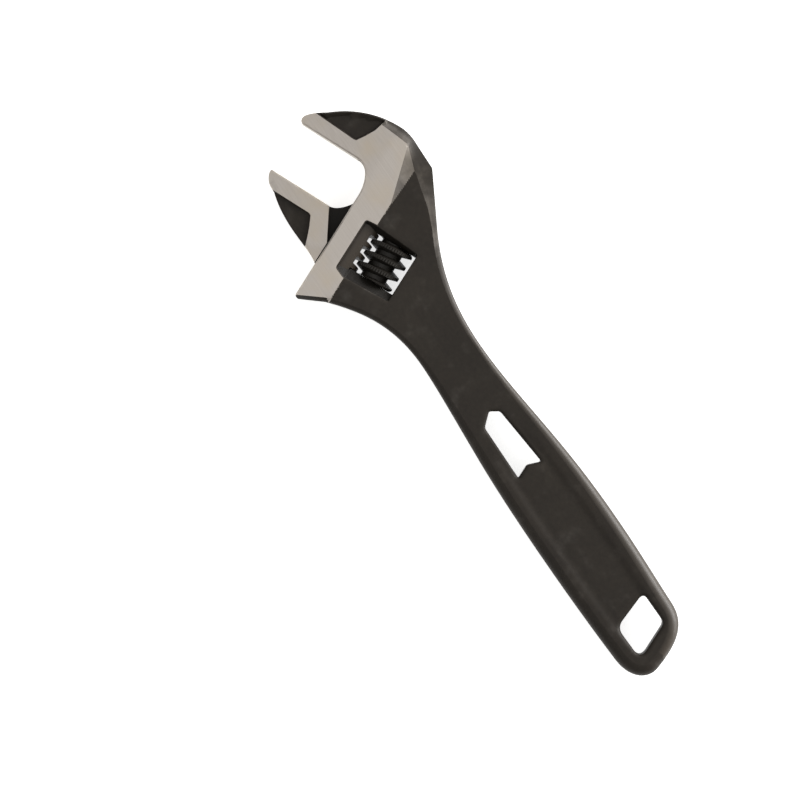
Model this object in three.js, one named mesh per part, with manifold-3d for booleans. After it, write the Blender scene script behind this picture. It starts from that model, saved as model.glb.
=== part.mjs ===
// Adjustable wrench, nominal 6 inch, wide-opening pattern with slim jaws.
//
// Millimetres, +Z up. The wrench lies on one face: its length runs along X (head at -X, handle end at
// +X), its width along Y and its thickness along Z. The origin is under the middle of the bounding box.
//
// Everything in the head follows the jaw faces, which stand 22.5 degrees to the handle. So the head has
// its own frame (u, v): the origin is the knurl's centre, u runs along the jaw faces towards the handle
// and v runs along the way the jaw closes.

import * as THREE from 'three';
import { mergeVertices } from 'three/addons/utils/BufferGeometryUtils.js';
import Module from 'manifold-3d';

const wasm = await Module();
wasm.setup();

// ---- driving dimensions -------------------------------------------------------------------------------

const headAngle = THREE.MathUtils.degToRad(22.5); // jaw faces against the handle's axis
const headOrigin = new THREE.Vector2(-39.1, -0.6); // the knurl's centre in X and Y
const opening = 13.2; // between the jaw faces as the wrench rests

// Half thicknesses, from the middle plane.
const landHalf = 5.4; // the ground land of the head
const blackHalf = 4.9; // the forged face beside the land
const jawSlope = 0.075; // how fast the jaws get thinner towards their tips, per mm of u
const recessDepth = 0.8; // the pockets in the jaws
const neckHalf = 3.5;
const handleHalf = 3.7;
const panelHalf = 2.7; // the sunk panel in the handle

// Head, in (u, v).
const edgeU = -13.65; // the edge that the movable jaw slides along
const landRightU = -5.85; // where the ground land stops
const fixedFaceV = 17.8; // the fixed jaw's working face
const movingFaceV = fixedFaceV - opening;
const tipU = -35.0; // the end of the fixed jaw
const movingTipU = -34.95; // the end of the movable jaw
const tailV = -18.2; // the low end of the head
const windowBox = { left: -8.7, right: 6.0, low: -5.3, high: 5.3, flareLow: -7.6, flareHigh: 6.4 };

// Screw: the knurl's thread and the rack that it drives.
const pitch = 3.1; // jaw travel for one turn of the knurl
const knurl = { tip: 5.35, root: 3.15, length: 10.4, crestWidth: 0.8, rootWidth: 2.1, bore: 1.6 };
const rack = {
  u: -8.25,
  radius: 4.0,
  low: -15,
  high: 11.6,
  depth: 1.9,
  crestWidth: 0.9,
  rootWidth: 1.3,
  shift: -0.2,
};
const closingTurns = 4.25;
const openingTurns = 4;
const closingTravel = closingTurns * pitch;
const webHalf = 1.7; // the web that joins the hook to the rack
const slideGap = 0.15; // between the jaw and the body

// Pin and spring.
const pin = { radius: 1.5, headRadius: 2.1, headLow: -12.2, headHigh: -8.2, high: 9.3, slot: 0.7 };
const spring = { wire: 0.24, radius: 1.98, low: -5.15, turns: 3.5, rise: 0.75, well: 2.5 };

const roundSides = 40;

// ---- small helpers ------------------------------------------------------------------------------------

// A point given in the head's frame, as a point in X and Y.
const fromHead = (u, v) => new THREE.Vector2(u, v).rotateAround(new THREE.Vector2(), headAngle).add(headOrigin);

const headMatrix = new THREE.Matrix4()
  .makeRotationZ(headAngle)
  .setPosition(headOrigin.x, headOrigin.y, 0);

// A closed three.js geometry as a manifold-3d solid, moved by a matrix if one is given.
function solid(geometry, matrix = new THREE.Matrix4()) {
  const bare = new THREE.BufferGeometry();
  bare.setAttribute('position', geometry.getAttribute('position').clone());
  if (geometry.index) bare.setIndex(geometry.index.clone());
  const merged = mergeVertices(bare.applyMatrix4(matrix), 1e-4);
  const triVerts = new Uint32Array(merged.index.array);
  if (matrix.determinant() < 0) {
    for (let i = 0; i < triVerts.length; i += 3) {
      [triVerts[i + 1], triVerts[i + 2]] = [triVerts[i + 2], triVerts[i + 1]];
    }
  }
  const vertProperties = new Float32Array(merged.getAttribute('position').array);
  return new wasm.Manifold(new wasm.Mesh({ numProp: 3, vertProperties, triVerts }));
}

function geometryOf(made) {
  const { vertProperties, triVerts } = made.getMesh();
  const geometry = new THREE.BufferGeometry();
  geometry.setAttribute('position', new THREE.BufferAttribute(new Float32Array(vertProperties), 3));
  geometry.setIndex(new THREE.BufferAttribute(new Uint32Array(triVerts), 1));
  geometry.computeVertexNormals();
  return geometry;
}

// A flat outline pulled straight up from zLow to zHigh.
function prism(shape, zLow, zHigh) {
  const depth = zHigh - zLow;
  return new THREE.ExtrudeGeometry(shape, { depth, bevelEnabled: false, curveSegments: 8 }).translate(0, 0, zLow);
}

// The same with the rim rounded off by `round` at the top and the bottom, inside the outline.
function roundedPrism(shape, half, round, segments) {
  return new THREE.ExtrudeGeometry(shape, {
    depth: 2 * (half - round),
    curveSegments: 8,
    bevelThickness: round,
    bevelSize: round,
    bevelOffset: -round,
    bevelSegments: segments,
  }).translate(0, 0, round - half);
}

// A side view (points of distance along a line and height) pulled sideways from `from` to `to`.
function sideProfile(points, from, to) {
  const shape = new THREE.Shape(points.map(([along, z]) => new THREE.Vector2(along, z)));
  const depth = to - from;
  return new THREE.ExtrudeGeometry(shape, { depth, bevelEnabled: false }).rotateX(Math.PI / 2).translate(0, to, 0);
}

// A top view of the upper half, mirrored down, so one list gives both faces.
const bothFaces = (points) => [...points, ...points.map(([along, z]) => [along, -z]).reverse()];

// A round bar along v.
function barAlongV(radius, low, high, sides = roundSides) {
  return new THREE.CylinderGeometry(radius, radius, high - low, sides).translate(0, (low + high) / 2, 0);
}

const moved = (x, y, z) => new THREE.Matrix4().makeTranslation(x, y, z);
const downwards = new THREE.Matrix4().makeScale(1, 1, -1);

// ---- outlines -----------------------------------------------------------------------------------------

// The round of the crown, and where on it the fixed jaw's nose starts.
const crest = { u: edgeU, v: 4.25, radius: 25.5, from: Math.acos((tipU + 4.5 - edgeU) / 25.5) };

// The outer edge from the fixed jaw's nose over the crown, down the handle and back to the tail.
function drawOuterEdge(path) {
  const crown = fromHead(crest.u, crest.v);
  path.absarc(crown.x, crown.y, crest.radius, crest.from + headAngle, Math.PI / 2 + headAngle, true);
  const soft = fromHead(-11.6, 29.7);
  const flat = fromHead(-9.6, 28.9);
  path.quadraticCurveTo(soft.x, soft.y, flat.x, flat.y);
  const shoulder = fromHead(-2.15, 25.5);
  path.lineTo(shoulder.x, shoulder.y);
  path.lineTo(-38, 14.6);
  path.bezierCurveTo(-29, 9.4, -20, 7.2, -9, 7.2);
  path.bezierCurveTo(6, 7.2, 18, 10.15, 40, 10.15);
  path.bezierCurveTo(52, 10.15, 58, 9.6, 68, 9.2);
  path.bezierCurveTo(74.4, 8.8, 76.8, 3.6, 78.6, -2.6);
  path.bezierCurveTo(79.6, -6.4, 76.4, -9.6, 71, -9.75);
  path.bezierCurveTo(56, -10.3, 30, -10.3, 14, -9.1);
  path.bezierCurveTo(2, -8.2, -8, -7.15, -14, -7.15);
  path.bezierCurveTo(-26, -7.15, -33, -12, -39.6, -17.4);
  const tail = fromHead(edgeU + 0.9, tailV);
  path.lineTo(tail.x, tail.y);
}

// The whole body seen from above.
function bodyOutline() {
  const shape = new THREE.Shape();
  const noseLow = fromHead(tipU + 1, fixedFaceV);
  shape.moveTo(noseLow.x, noseLow.y);
  const lip = [fromHead(tipU + 0.25, fixedFaceV), fromHead(tipU, fixedFaceV + 0.8)];
  shape.quadraticCurveTo(lip[0].x, lip[0].y, lip[1].x, lip[1].y);
  const bend = [fromHead(tipU - 0.5, fixedFaceV + 2.1), fromHead(tipU + 2.1, fixedFaceV + 4.1)];
  const noseHigh = fromHead(
    crest.u + crest.radius * Math.cos(crest.from),
    crest.v + crest.radius * Math.sin(crest.from),
  );
  shape.bezierCurveTo(bend[0].x, bend[0].y, bend[1].x, bend[1].y, noseHigh.x, noseHigh.y);
  drawOuterEdge(shape);
  const tailCorner = fromHead(edgeU - 0.1, tailV);
  const tailTop = fromHead(edgeU, tailV + 1.2);
  shape.quadraticCurveTo(tailCorner.x, tailCorner.y, tailTop.x, tailTop.y);
  const throatLow = fromHead(edgeU, 10.4);
  shape.lineTo(throatLow.x, throatLow.y);
  const bendLow = fromHead(edgeU, 14.2);
  const bendHigh = fromHead(-15.6, fixedFaceV);
  const throatHigh = fromHead(-18.2, fixedFaceV);
  shape.bezierCurveTo(bendLow.x, bendLow.y, bendHigh.x, bendHigh.y, throatHigh.x, throatHigh.y);
  return shape;
}

// The outer edge closed off far beyond the mouth, so rounding its rim leaves the jaws alone.
function rimOutline() {
  const shape = new THREE.Shape();
  const clear = fromHead(tipU - 12, 0);
  shape.moveTo(clear.x, clear.y);
  const nose = fromHead(tipU - 12, 17.5);
  shape.lineTo(nose.x, nose.y);
  drawOuterEdge(shape);
  const below = fromHead(tipU - 12, tailV - 6);
  shape.lineTo(below.x, below.y);
  return shape;
}

// The ground land: the slide's band, the throat and a strip along the fixed jaw's face.
function landOutline() {
  const shape = new THREE.Shape();
  const corners = [
    [landRightU, tailV - 4],
    [landRightU, 24],
    [-9.5, 27.6],
    [-12, 32],
    [-17.9, 32],
    [-17.9, 27.6],
    [-21.4, 21.3],
    [tipU - 4, 21.3],
    [tipU - 4, fixedFaceV - 6],
    [-22, tailV - 4],
  ];
  shape.setFromPoints(corners.map(([u, v]) => fromHead(u, v)));
  return shape;
}

// The hook of the movable jaw, and the thin web behind it, in (u, v).
function hookOutline() {
  const right = edgeU - slideGap - 0.1;
  const shape = new THREE.Shape();
  shape.moveTo(movingTipU + 0.4, movingFaceV);
  shape.lineTo(-18.25, movingFaceV);
  shape.lineTo(right, -3.2);
  shape.lineTo(right, -8.8);
  shape.bezierCurveTo(-17.5, -6.2, -24.5, -5.5, -31.2, 0.3);
  shape.quadraticCurveTo(-33, 1.2, movingTipU + 0.3, movingFaceV - 0.5);
  return shape;
}

function webOutline() {
  const shape = new THREE.Shape();
  shape.moveTo(-20, movingFaceV - 1.5);
  shape.lineTo(-18.4, movingFaceV - 0.3);
  shape.quadraticCurveTo(-15.9, movingFaceV + 0.2, edgeU, 8.3);
  shape.lineTo(rack.u, 8.3);
  shape.lineTo(rack.u, -8.8);
  shape.lineTo(edgeU - slideGap - 0.5, -8.5);
  return shape;
}

// A closed outline through corners, each rounded off: [x, y, how much of each side the round takes].
function softCorners(corners) {
  const shape = new THREE.Shape();
  corners.forEach(([x, y, round], i) => {
    const here = new THREE.Vector2(x, y);
    const before = new THREE.Vector2(...corners.at(i - 1));
    const after = new THREE.Vector2(...corners[(i + 1) % corners.length]);
    const start = before.sub(here).setLength(round).add(here);
    const end = after.sub(here).setLength(round).add(here);
    if (i === 0) shape.moveTo(start.x, start.y);
    else shape.lineTo(start.x, start.y);
    shape.quadraticCurveTo(x, y, end.x, end.y);
  });
  return shape;
}

// The swallow-tailed hole at the top of the handle, and the hanging hole at its end.
const tailedHole = () =>
  softCorners([
    [6.3, 1.95, 0.6],
    [21.9, 3.15, 0.8],
    [20.5, -0.2, 0.5],
    [21.95, -3.7, 0.5],
    [7.4, -3.4, 0.7],
    [4.75, -0.3, 0.5],
  ]);

const hangingHole = () =>
  softCorners([
    [61.7, 5.0, 1.9],
    [70.4, 5.0, 1.3],
    [74.4, -4.75, 2.9],
    [64.95, -4.9, 2.2],
  ]);

// The sunk panel in the handle, a strip that keeps its distance from the edges.
function panelOutline() {
  const shape = new THREE.Shape();
  shape.moveTo(2, -0.3);
  shape.bezierCurveTo(2, 4.4, 8, 5.3, 20, 5.9);
  shape.bezierCurveTo(34, 6.7, 48, 6.9, 66, 6.0);
  shape.lineTo(66, -6.6);
  shape.bezierCurveTo(48, -7.2, 34, -7.2, 20, -6.4);
  shape.bezierCurveTo(8, -5.7, 2, -5.2, 2, -0.3);
  return shape;
}

// ---- materials ----------------------------------------------------------------------------------------

const phosphated = new THREE.MeshStandardMaterial({ color: 0x302d29, roughness: 0.62, metalness: 0.6 });
const blackened = new THREE.MeshStandardMaterial({ color: 0x26241f, roughness: 0.45, metalness: 0.7 });
const bright = new THREE.MeshStandardMaterial({ color: 0x8d8a86, roughness: 0.35, metalness: 1 });

// ---- body ---------------------------------------------------------------------------------------------

// How thick the body is: seen along v, the head thins towards the jaw's tip, and seen along Y the
// forging thins from the head to the neck.
function headThickness(drop) {
  const tip = tipU - 8;
  const half = landHalf - drop;
  return solid(sideProfile(bothFaces([[tip, half + (tip - edgeU) * jawSlope], [edgeU, half], [120, half]]), -90, 60), headMatrix);
}

function lengthThickness() {
  const top = [[-100, blackHalf], [-34, blackHalf], [-25, neckHalf + 0.5], [-14, neckHalf], [2, neckHalf], [14, handleHalf]];
  return solid(sideProfile(bothFaces([...top, [90, handleHalf]]), -40, 40));
}

// The rack's bore, the slot for the web, the knurl's window and the pin's hole.
function headCuts() {
  const boreTop = rack.high + closingTravel + 0.35;
  const bore = solid(
    barAlongV(rack.radius + 0.1, tailV - 6, boreTop),
    headMatrix.clone().multiply(moved(rack.u, 0, 0)),
  );
  const slotTop = 8.3 + closingTravel + 0.4;
  const slotShape = new THREE.Shape();
  slotShape.setFromPoints([
    fromHead(rack.u, tailV - 6),
    fromHead(rack.u, slotTop),
    fromHead(edgeU, slotTop),
    fromHead(-18.8, fixedFaceV - 0.2),
    fromHead(-20, tailV - 6),
  ]);
  const slot = solid(prism(slotShape, -webHalf - slideGap, webHalf + slideGap));

  const { left, right, low, high, flareLow, flareHigh } = windowBox;
  const deep = landHalf + 1;
  const waist = 3.2; // the straight part of the window ends here, above it the ends flare out
  const flare = [[low, waist], [flareLow, blackHalf], [flareLow - 0.6, deep]];
  const flareUp = [[flareHigh + 0.2, deep], [flareHigh, blackHalf], [high, waist]];
  const half = [...flareUp, ...flareUp.slice().reverse().map(([v, z]) => [v, -z])];
  const rest = [...flare.slice().reverse().map(([v, z]) => [v, -z]), ...flare];
  const endView = new THREE.Shape([...half, ...rest].map(([v, z]) => new THREE.Vector2(v, z)));
  const opened = new THREE.ExtrudeGeometry(endView, { depth: right - left, bevelEnabled: false });
  // the end view's own x and y become v and z, and its depth becomes u
  opened.applyMatrix4(new THREE.Matrix4().set(0, 0, 1, left, 1, 0, 0, 0, 0, 1, 0, 0, 0, 0, 0, 1));
  const window = solid(opened, headMatrix);

  const head = solid(barAlongV(pin.headRadius + 0.1, tailV - 6, pin.headHigh + 0.1), headMatrix);
  const shank = solid(barAlongV(pin.radius + 0.08, tailV, pin.high + 0.3), headMatrix);
  return [bore, slot, window, head, shank];
}

function body() {
  const whole = solid(prism(bodyOutline(), -landHalf, landHalf));
  const land = solid(prism(landOutline(), -landHalf, landHalf)).intersect(whole).intersect(headThickness(0));
  const forged = whole.intersect(headThickness(recessDepth)).intersect(lengthThickness());
  const beside = solid(prism(besideLand(), -landHalf, landHalf)).intersect(whole).intersect(lengthThickness());
  const crown = solid(roundedPrism(rimOutline(), landHalf, 1.8, 2));
  let made = land.add(forged).add(beside).intersect(crown);

  const rails = solid(roundedPrism(rimOutline(), handleHalf, 1.5, 3)).intersect(zone(-2, 90));
  const neck = solid(roundedPrism(rimOutline(), neckHalf + 0.1, 1.4, 3)).intersect(zone(-14, -2));
  const shoulder = solid(roundedPrism(rimOutline(), neckHalf + 0.6, 1.4, 3)).intersect(zone(-26, -14));
  made = made.intersect(rails.add(neck).add(shoulder).add(zone(-110, -26)));

  for (const cut of headCuts()) made = made.subtract(cut);
  const deep = handleHalf + 1;
  made = made.subtract(solid(prism(tailedHole(), -deep, deep)));
  made = made.subtract(solid(prism(hangingHole(), -deep, deep)));
  const panel = new THREE.ExtrudeGeometry(panelOutline(), {
    depth: 3,
    bevelThickness: handleHalf - panelHalf,
    bevelSize: 2,
    bevelOffset: -2,
    bevelSegments: 3,
    curveSegments: 8,
  }).translate(0, 0, handleHalf);
  return made.subtract(solid(panel)).subtract(solid(panel, downwards));
}

// All there is between two places along the handle.
const zone = (from, to) => solid(new THREE.BoxGeometry(to - from, 80, 20).translate((from + to) / 2, 0, 0));

// Beside the land the face is only a little lower, where the jaws' pockets are deeper.
function besideLand() {
  const shape = new THREE.Shape();
  shape.setFromPoints([[landRightU - 2, 60], [landRightU - 2, -90], [150, -90], [150, 60]].map(([u, v]) => fromHead(u, v)));
  return shape;
}

// ---- movable jaw --------------------------------------------------------------------------------------

function trapezium(baseU, baseWidth, topU, topWidth) {
  return new THREE.Shape([
    new THREE.Vector2(baseU, -baseWidth / 2),
    new THREE.Vector2(topU, -topWidth / 2),
    new THREE.Vector2(topU, topWidth / 2),
    new THREE.Vector2(baseU, baseWidth / 2),
  ]);
}

function movableJaw() {
  const hookHalf = landHalf - 0.2;
  const slope = (drop) => {
    const tip = tipU - 4;
    const half = hookHalf - drop;
    return solid(sideProfile(bothFaces([[tip, half + (tip - edgeU) * jawSlope], [edgeU, half]]), -30, 30));
  };
  const hook = solid(prism(hookOutline(), -hookHalf, hookHalf));
  // The raised Y: a strip along the working face and a leg down to the slide.
  const raised = new THREE.Shape();
  const corners = [[tipU - 2, 9], [tipU - 2, 0.6], [-21.2, 0.6], [-18.2, -6.4], [-18.2, -12], [-12, -12], [-12, 9]];
  raised.setFromPoints(corners.map(([u, v]) => new THREE.Vector2(u, v)));
  const high = solid(prism(raised, -hookHalf, hookHalf)).intersect(hook).intersect(slope(0));
  const low = hook.intersect(slope(recessDepth));
  const web = solid(prism(webOutline(), -webHalf, webHalf));

  let bar = solid(barAlongV(rack.radius, rack.low, rack.high), moved(rack.u, 0, 0));
  const meanRadius = (knurl.tip + knurl.root) / 2 + 0.4;
  const lead = Math.atan(pitch / (2 * Math.PI * meanRadius));
  const crestU = rack.u + rack.radius;
  // a groove is as wide at its mouth as the pitch less the rack tooth's own crest
  const flare = ((rack.rootWidth - rack.crestWidth) * 0.5) / rack.depth;
  const groove = trapezium(crestU - rack.depth, pitch - rack.rootWidth, crestU + 0.5, pitch - rack.crestWidth + flare);
  const firstTooth = Math.ceil((rack.low - 1) / pitch);
  const lastTooth = Math.floor((rack.high - 1.2) / pitch);
  for (let tooth = firstTooth; tooth <= lastTooth; tooth++) {
    const place = moved(0, tooth * pitch + rack.shift, 0).multiply(new THREE.Matrix4().makeRotationX(-lead));
    bar = bar.subtract(solid(prism(groove, -6, 6), place));
  }
  return high.add(low).add(web).add(bar);
}

// ---- knurl, pin and spring ----------------------------------------------------------------------------

// A closed strip through a list of rings that all have four corners.
function strip(rings) {
  const position = rings.flat().flatMap((p) => [p.x, p.y, p.z]);
  const index = [];
  for (let i = 0; i + 1 < rings.length; i++) {
    for (let k = 0; k < 4; k++) {
      const [a, b] = [4 * i + k, 4 * i + ((k + 1) % 4)];
      index.push(a, b + 4, b, a, a + 4, b + 4);
    }
  }
  const last = 4 * (rings.length - 1);
  index.push(0, 1, 2, 0, 2, 3, last, last + 2, last + 1, last, last + 3, last + 2);
  const geometry = new THREE.BufferGeometry();
  geometry.setAttribute('position', new THREE.Float32BufferAttribute(position, 3));
  geometry.setIndex(index);
  return geometry;
}

// One right-hand ridge round the knurl. On the rack's side its middle passes v = 0.
function threadRidge() {
  const buried = knurl.root - 0.4;
  const buriedWidth = knurl.rootWidth + 0.28;
  const turns = knurl.length / pitch + 2;
  const steps = Math.round(turns * roundSides);
  const rings = [];
  for (let i = 0; i <= steps; i++) {
    const turn = i / roundSides - turns / 2;
    const angle = turn * 2 * Math.PI + Math.PI;
    const v = turn * pitch;
    const corner = (r, dv) => new THREE.Vector3(r * Math.cos(angle), v + dv, -r * Math.sin(angle));
    rings.push([
      corner(buried, -buriedWidth / 2),
      corner(knurl.tip, -knurl.crestWidth / 2),
      corner(knurl.tip, knurl.crestWidth / 2),
      corner(buried, buriedWidth / 2),
    ]);
  }
  return strip(rings);
}

function knurlSolid() {
  const half = knurl.length / 2;
  const core = solid(barAlongV(knurl.root, -half, half));
  const ridge = solid(threadRidge());
  const limits = new THREE.LatheGeometry(
    [[0, -half], [knurl.tip - 0.6, -half], [knurl.tip + 0.1, -half + 0.7], [knurl.tip + 0.1, half - 0.7], [knurl.tip - 0.6, half], [0, half]].map(
      ([r, v]) => new THREE.Vector2(r, v),
    ),
    roundSides,
  );
  const bore = solid(barAlongV(knurl.bore, -half - 1, half + 1));
  const well = solid(barAlongV(spring.well, -half - 1, spring.low + spring.turns * spring.rise + 0.65));
  return core.add(ridge).intersect(solid(limits)).subtract(bore).subtract(well);
}

function pinSolid() {
  const shank = solid(barAlongV(pin.radius, pin.headHigh - 0.5, pin.high));
  const head = solid(barAlongV(pin.headRadius, pin.headLow, pin.headHigh));
  const slot = solid(new THREE.BoxGeometry(5, 2.2, pin.slot).translate(0, pin.headLow, 0));
  return shank.add(head).subtract(slot);
}

class SpringLine extends THREE.Curve {
  getPoint(t, target = new THREE.Vector3()) {
    const angle = t * spring.turns * 2 * Math.PI;
    const v = spring.low + spring.wire + t * spring.turns * spring.rise;
    return target.set(spring.radius * Math.cos(angle), v, spring.radius * Math.sin(angle));
  }
}

function springGeometry() {
  const wire = new THREE.Shape().absarc(0, 0, spring.wire, 0, 2 * Math.PI, false);
  return new THREE.ExtrudeGeometry(wire, { steps: 56, curveSegments: 3, extrudePath: new SpringLine(), bevelEnabled: false });
}

// ---- assembly -----------------------------------------------------------------------------------------

function piece(name, geometry, material) {
  const mesh = new THREE.Mesh(geometry, material);
  mesh.name = name;
  return mesh;
}

const wrench = new THREE.Group();
wrench.position.z = landHalf;
wrench.add(piece('body', geometryOf(body()), phosphated));

const head = new THREE.Group();
head.position.set(headOrigin.x, headOrigin.y, 0);
head.rotation.z = headAngle;
head.add(piece('movable_jaw', geometryOf(movableJaw()), phosphated));
head.add(piece('knurl', geometryOf(knurlSolid()), blackened));
head.add(piece('knurl_pin', geometryOf(pinSolid()), bright));
head.add(piece('knurl_spring', springGeometry(), bright));
wrench.add(head);

export default wrench;
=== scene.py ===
import math
import bmesh
import bpy
import numpy as np
from mathutils import Matrix, Vector
from mathutils.geometry import delaunay_2d_cdt


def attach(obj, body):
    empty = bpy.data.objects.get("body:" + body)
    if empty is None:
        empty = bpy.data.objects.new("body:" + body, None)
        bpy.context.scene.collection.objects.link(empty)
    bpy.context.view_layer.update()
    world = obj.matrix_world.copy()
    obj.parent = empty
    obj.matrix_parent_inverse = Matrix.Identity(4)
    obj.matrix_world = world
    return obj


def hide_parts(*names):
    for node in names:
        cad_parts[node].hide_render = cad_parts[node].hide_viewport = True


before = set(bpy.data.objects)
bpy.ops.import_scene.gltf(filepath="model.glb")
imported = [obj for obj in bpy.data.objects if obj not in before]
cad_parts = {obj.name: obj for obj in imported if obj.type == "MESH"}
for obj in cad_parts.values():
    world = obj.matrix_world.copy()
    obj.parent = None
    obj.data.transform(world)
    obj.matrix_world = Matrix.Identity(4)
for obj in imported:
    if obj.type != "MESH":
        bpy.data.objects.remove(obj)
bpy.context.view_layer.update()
print("frame loaded")

# Sizes are in millimetres and turned to metres as a mesh is made. The head has its own axes: u runs along
# the jaw faces towards the handle, v the way the jaw closes, and z = 0 is the middle of the thickness.
mm = 0.001
middleZ = 5.4
head = {"x": -39.1, "y": -0.6, "angle": math.radians(22.5)}
headMiddle = Matrix.Translation((head["x"] * mm, head["y"] * mm, middleZ * mm))
headPlace = headMiddle @ Matrix.Rotation(head["angle"], 4, "Z")
rowPlace = Matrix.Translation((0, 0, middleZ * mm))


def fromHead(u, v):
    c, s = math.cos(head["angle"]), math.sin(head["angle"])
    return (head["x"] + u * c - v * s, head["y"] + u * s + v * c)


def toHead(points):
    c, s = math.cos(head["angle"]), math.sin(head["angle"])
    d = np.asarray(points) - (head["x"], head["y"])
    return np.stack([d[:, 0] * c + d[:, 1] * s, -d[:, 0] * s + d[:, 1] * c], 1)


# Plane curves.

def bezier(points, step=0.5):
    p = np.array(points, float)
    n = len(p) - 1
    length = np.linalg.norm(np.diff(p, axis=0), axis=1).sum()
    t = np.linspace(0, 1, max(1, round(length / step)) + 1)[:, None]
    return sum(math.comb(n, i) * (1 - t) ** (n - i) * t ** i * p[i] for i in range(n + 1))


def arc(centre, radius, start, end, step=0.5):
    a = np.linspace(start, end, max(2, round(abs(end - start) * radius / step)) + 1)
    return np.stack([centre[0] + radius * np.cos(a), centre[1] + radius * np.sin(a)], 1)


# Corners rounded off. Each says how much of its two sides the round takes: (x, y, round).
def softCorners(corners, step=0.25):
    out = []
    for k, (x, y, size) in enumerate(corners):
        here = np.array((x, y))
        before, after = (np.array(corners[(k + j) % len(corners)][:2]) for j in (-1, 1))
        a = here + (before - here) / np.linalg.norm(before - here) * size
        b = here + (after - here) / np.linalg.norm(after - here) * size
        out.extend(bezier([a, here, b], step))
    return np.array(out)


def dense(line, step=0.5, closed=False):
    line = np.asarray(line, float)
    if closed:
        line = np.vstack([line, line[:1]])
    out = [bezier([a, b], step)[:-1] for a, b in zip(line[:-1], line[1:])]
    return np.vstack(out if closed else out + [line[-1:]])


def inside(points, loop):
    x, y = points[:, 0], points[:, 1]
    hit = np.zeros(len(points), bool)
    for (x0, y0), (x1, y1) in zip(loop, np.roll(loop, -1, 0)):
        if y0 != y1:
            crosses = ((y0 > y) != (y1 > y)) & (x < (x1 - x0) * (y - y0) / (y1 - y0) + x0)
            hit ^= crosses
    return hit


# Distance from each point to a line, and where along the line (segment number plus fraction) that is.
def nearest(points, line, closed=True):
    line = np.asarray(line, float)
    a = line if closed else line[:-1]
    b = np.roll(line, -1, 0) if closed else line[1:]
    d = b - a
    size = np.maximum((d ** 2).sum(1), 1e-12)
    best = np.full(len(points), 1e9)
    where = np.zeros(len(points))
    for first in range(0, len(points), 4000):
        p = points[first:first + 4000]
        t = np.clip(((p[:, None] - a[None]) * d[None]).sum(2) / size, 0, 1)
        gap = np.linalg.norm(p[:, None] - (a[None] + t[..., None] * d[None]), axis=2)
        k = gap.argmin(1)
        best[first:first + 4000] = gap[np.arange(len(p)), k]
        where[first:first + 4000] = k + t[np.arange(len(p)), k]
    return best, where


def smooth(x, low, high):
    t = np.clip((x - low) / (high - low), 0, 1)
    return t * t * (3 - 2 * t)


# Unit vectors to the left of a loop, at each of its points.
def leftOf(loop):
    ahead = np.roll(loop, -1, 0) - np.roll(loop, 1, 0)
    ahead /= np.linalg.norm(ahead, axis=1)[:, None]
    return np.stack([-ahead[:, 1], ahead[:, 0]], 1)


# A loop moved inwards by a distance for each of its points. What would come too near the edge is left out.
def inset(loop, distance):
    distance = np.broadcast_to(distance, len(loop))
    moved = loop + leftOf(loop) * distance[:, None]
    keep = (nearest(moved, loop)[0] > 0.93 * distance) & inside(moved, loop)
    return moved, keep


# A triangular grid of points inside a loop, with none of them near a line.
def gridInside(loop, lines, spacing):
    low, high = loop.min(0), loop.max(0)
    rows = []
    for k, y in enumerate(np.arange(low[1], high[1], spacing * 0.87)):
        x = np.arange(low[0] + (k % 2) * spacing / 2, high[0], spacing)
        rows.append(np.stack([x, np.full(len(x), y)], 1))
    grid = np.vstack(rows)
    grid = grid[inside(grid, loop)]
    clear = np.ones(len(grid), bool)
    for line, closed in lines:
        clear &= nearest(grid, line, closed)[0] > spacing * 0.45
    return grid[clear]


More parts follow.
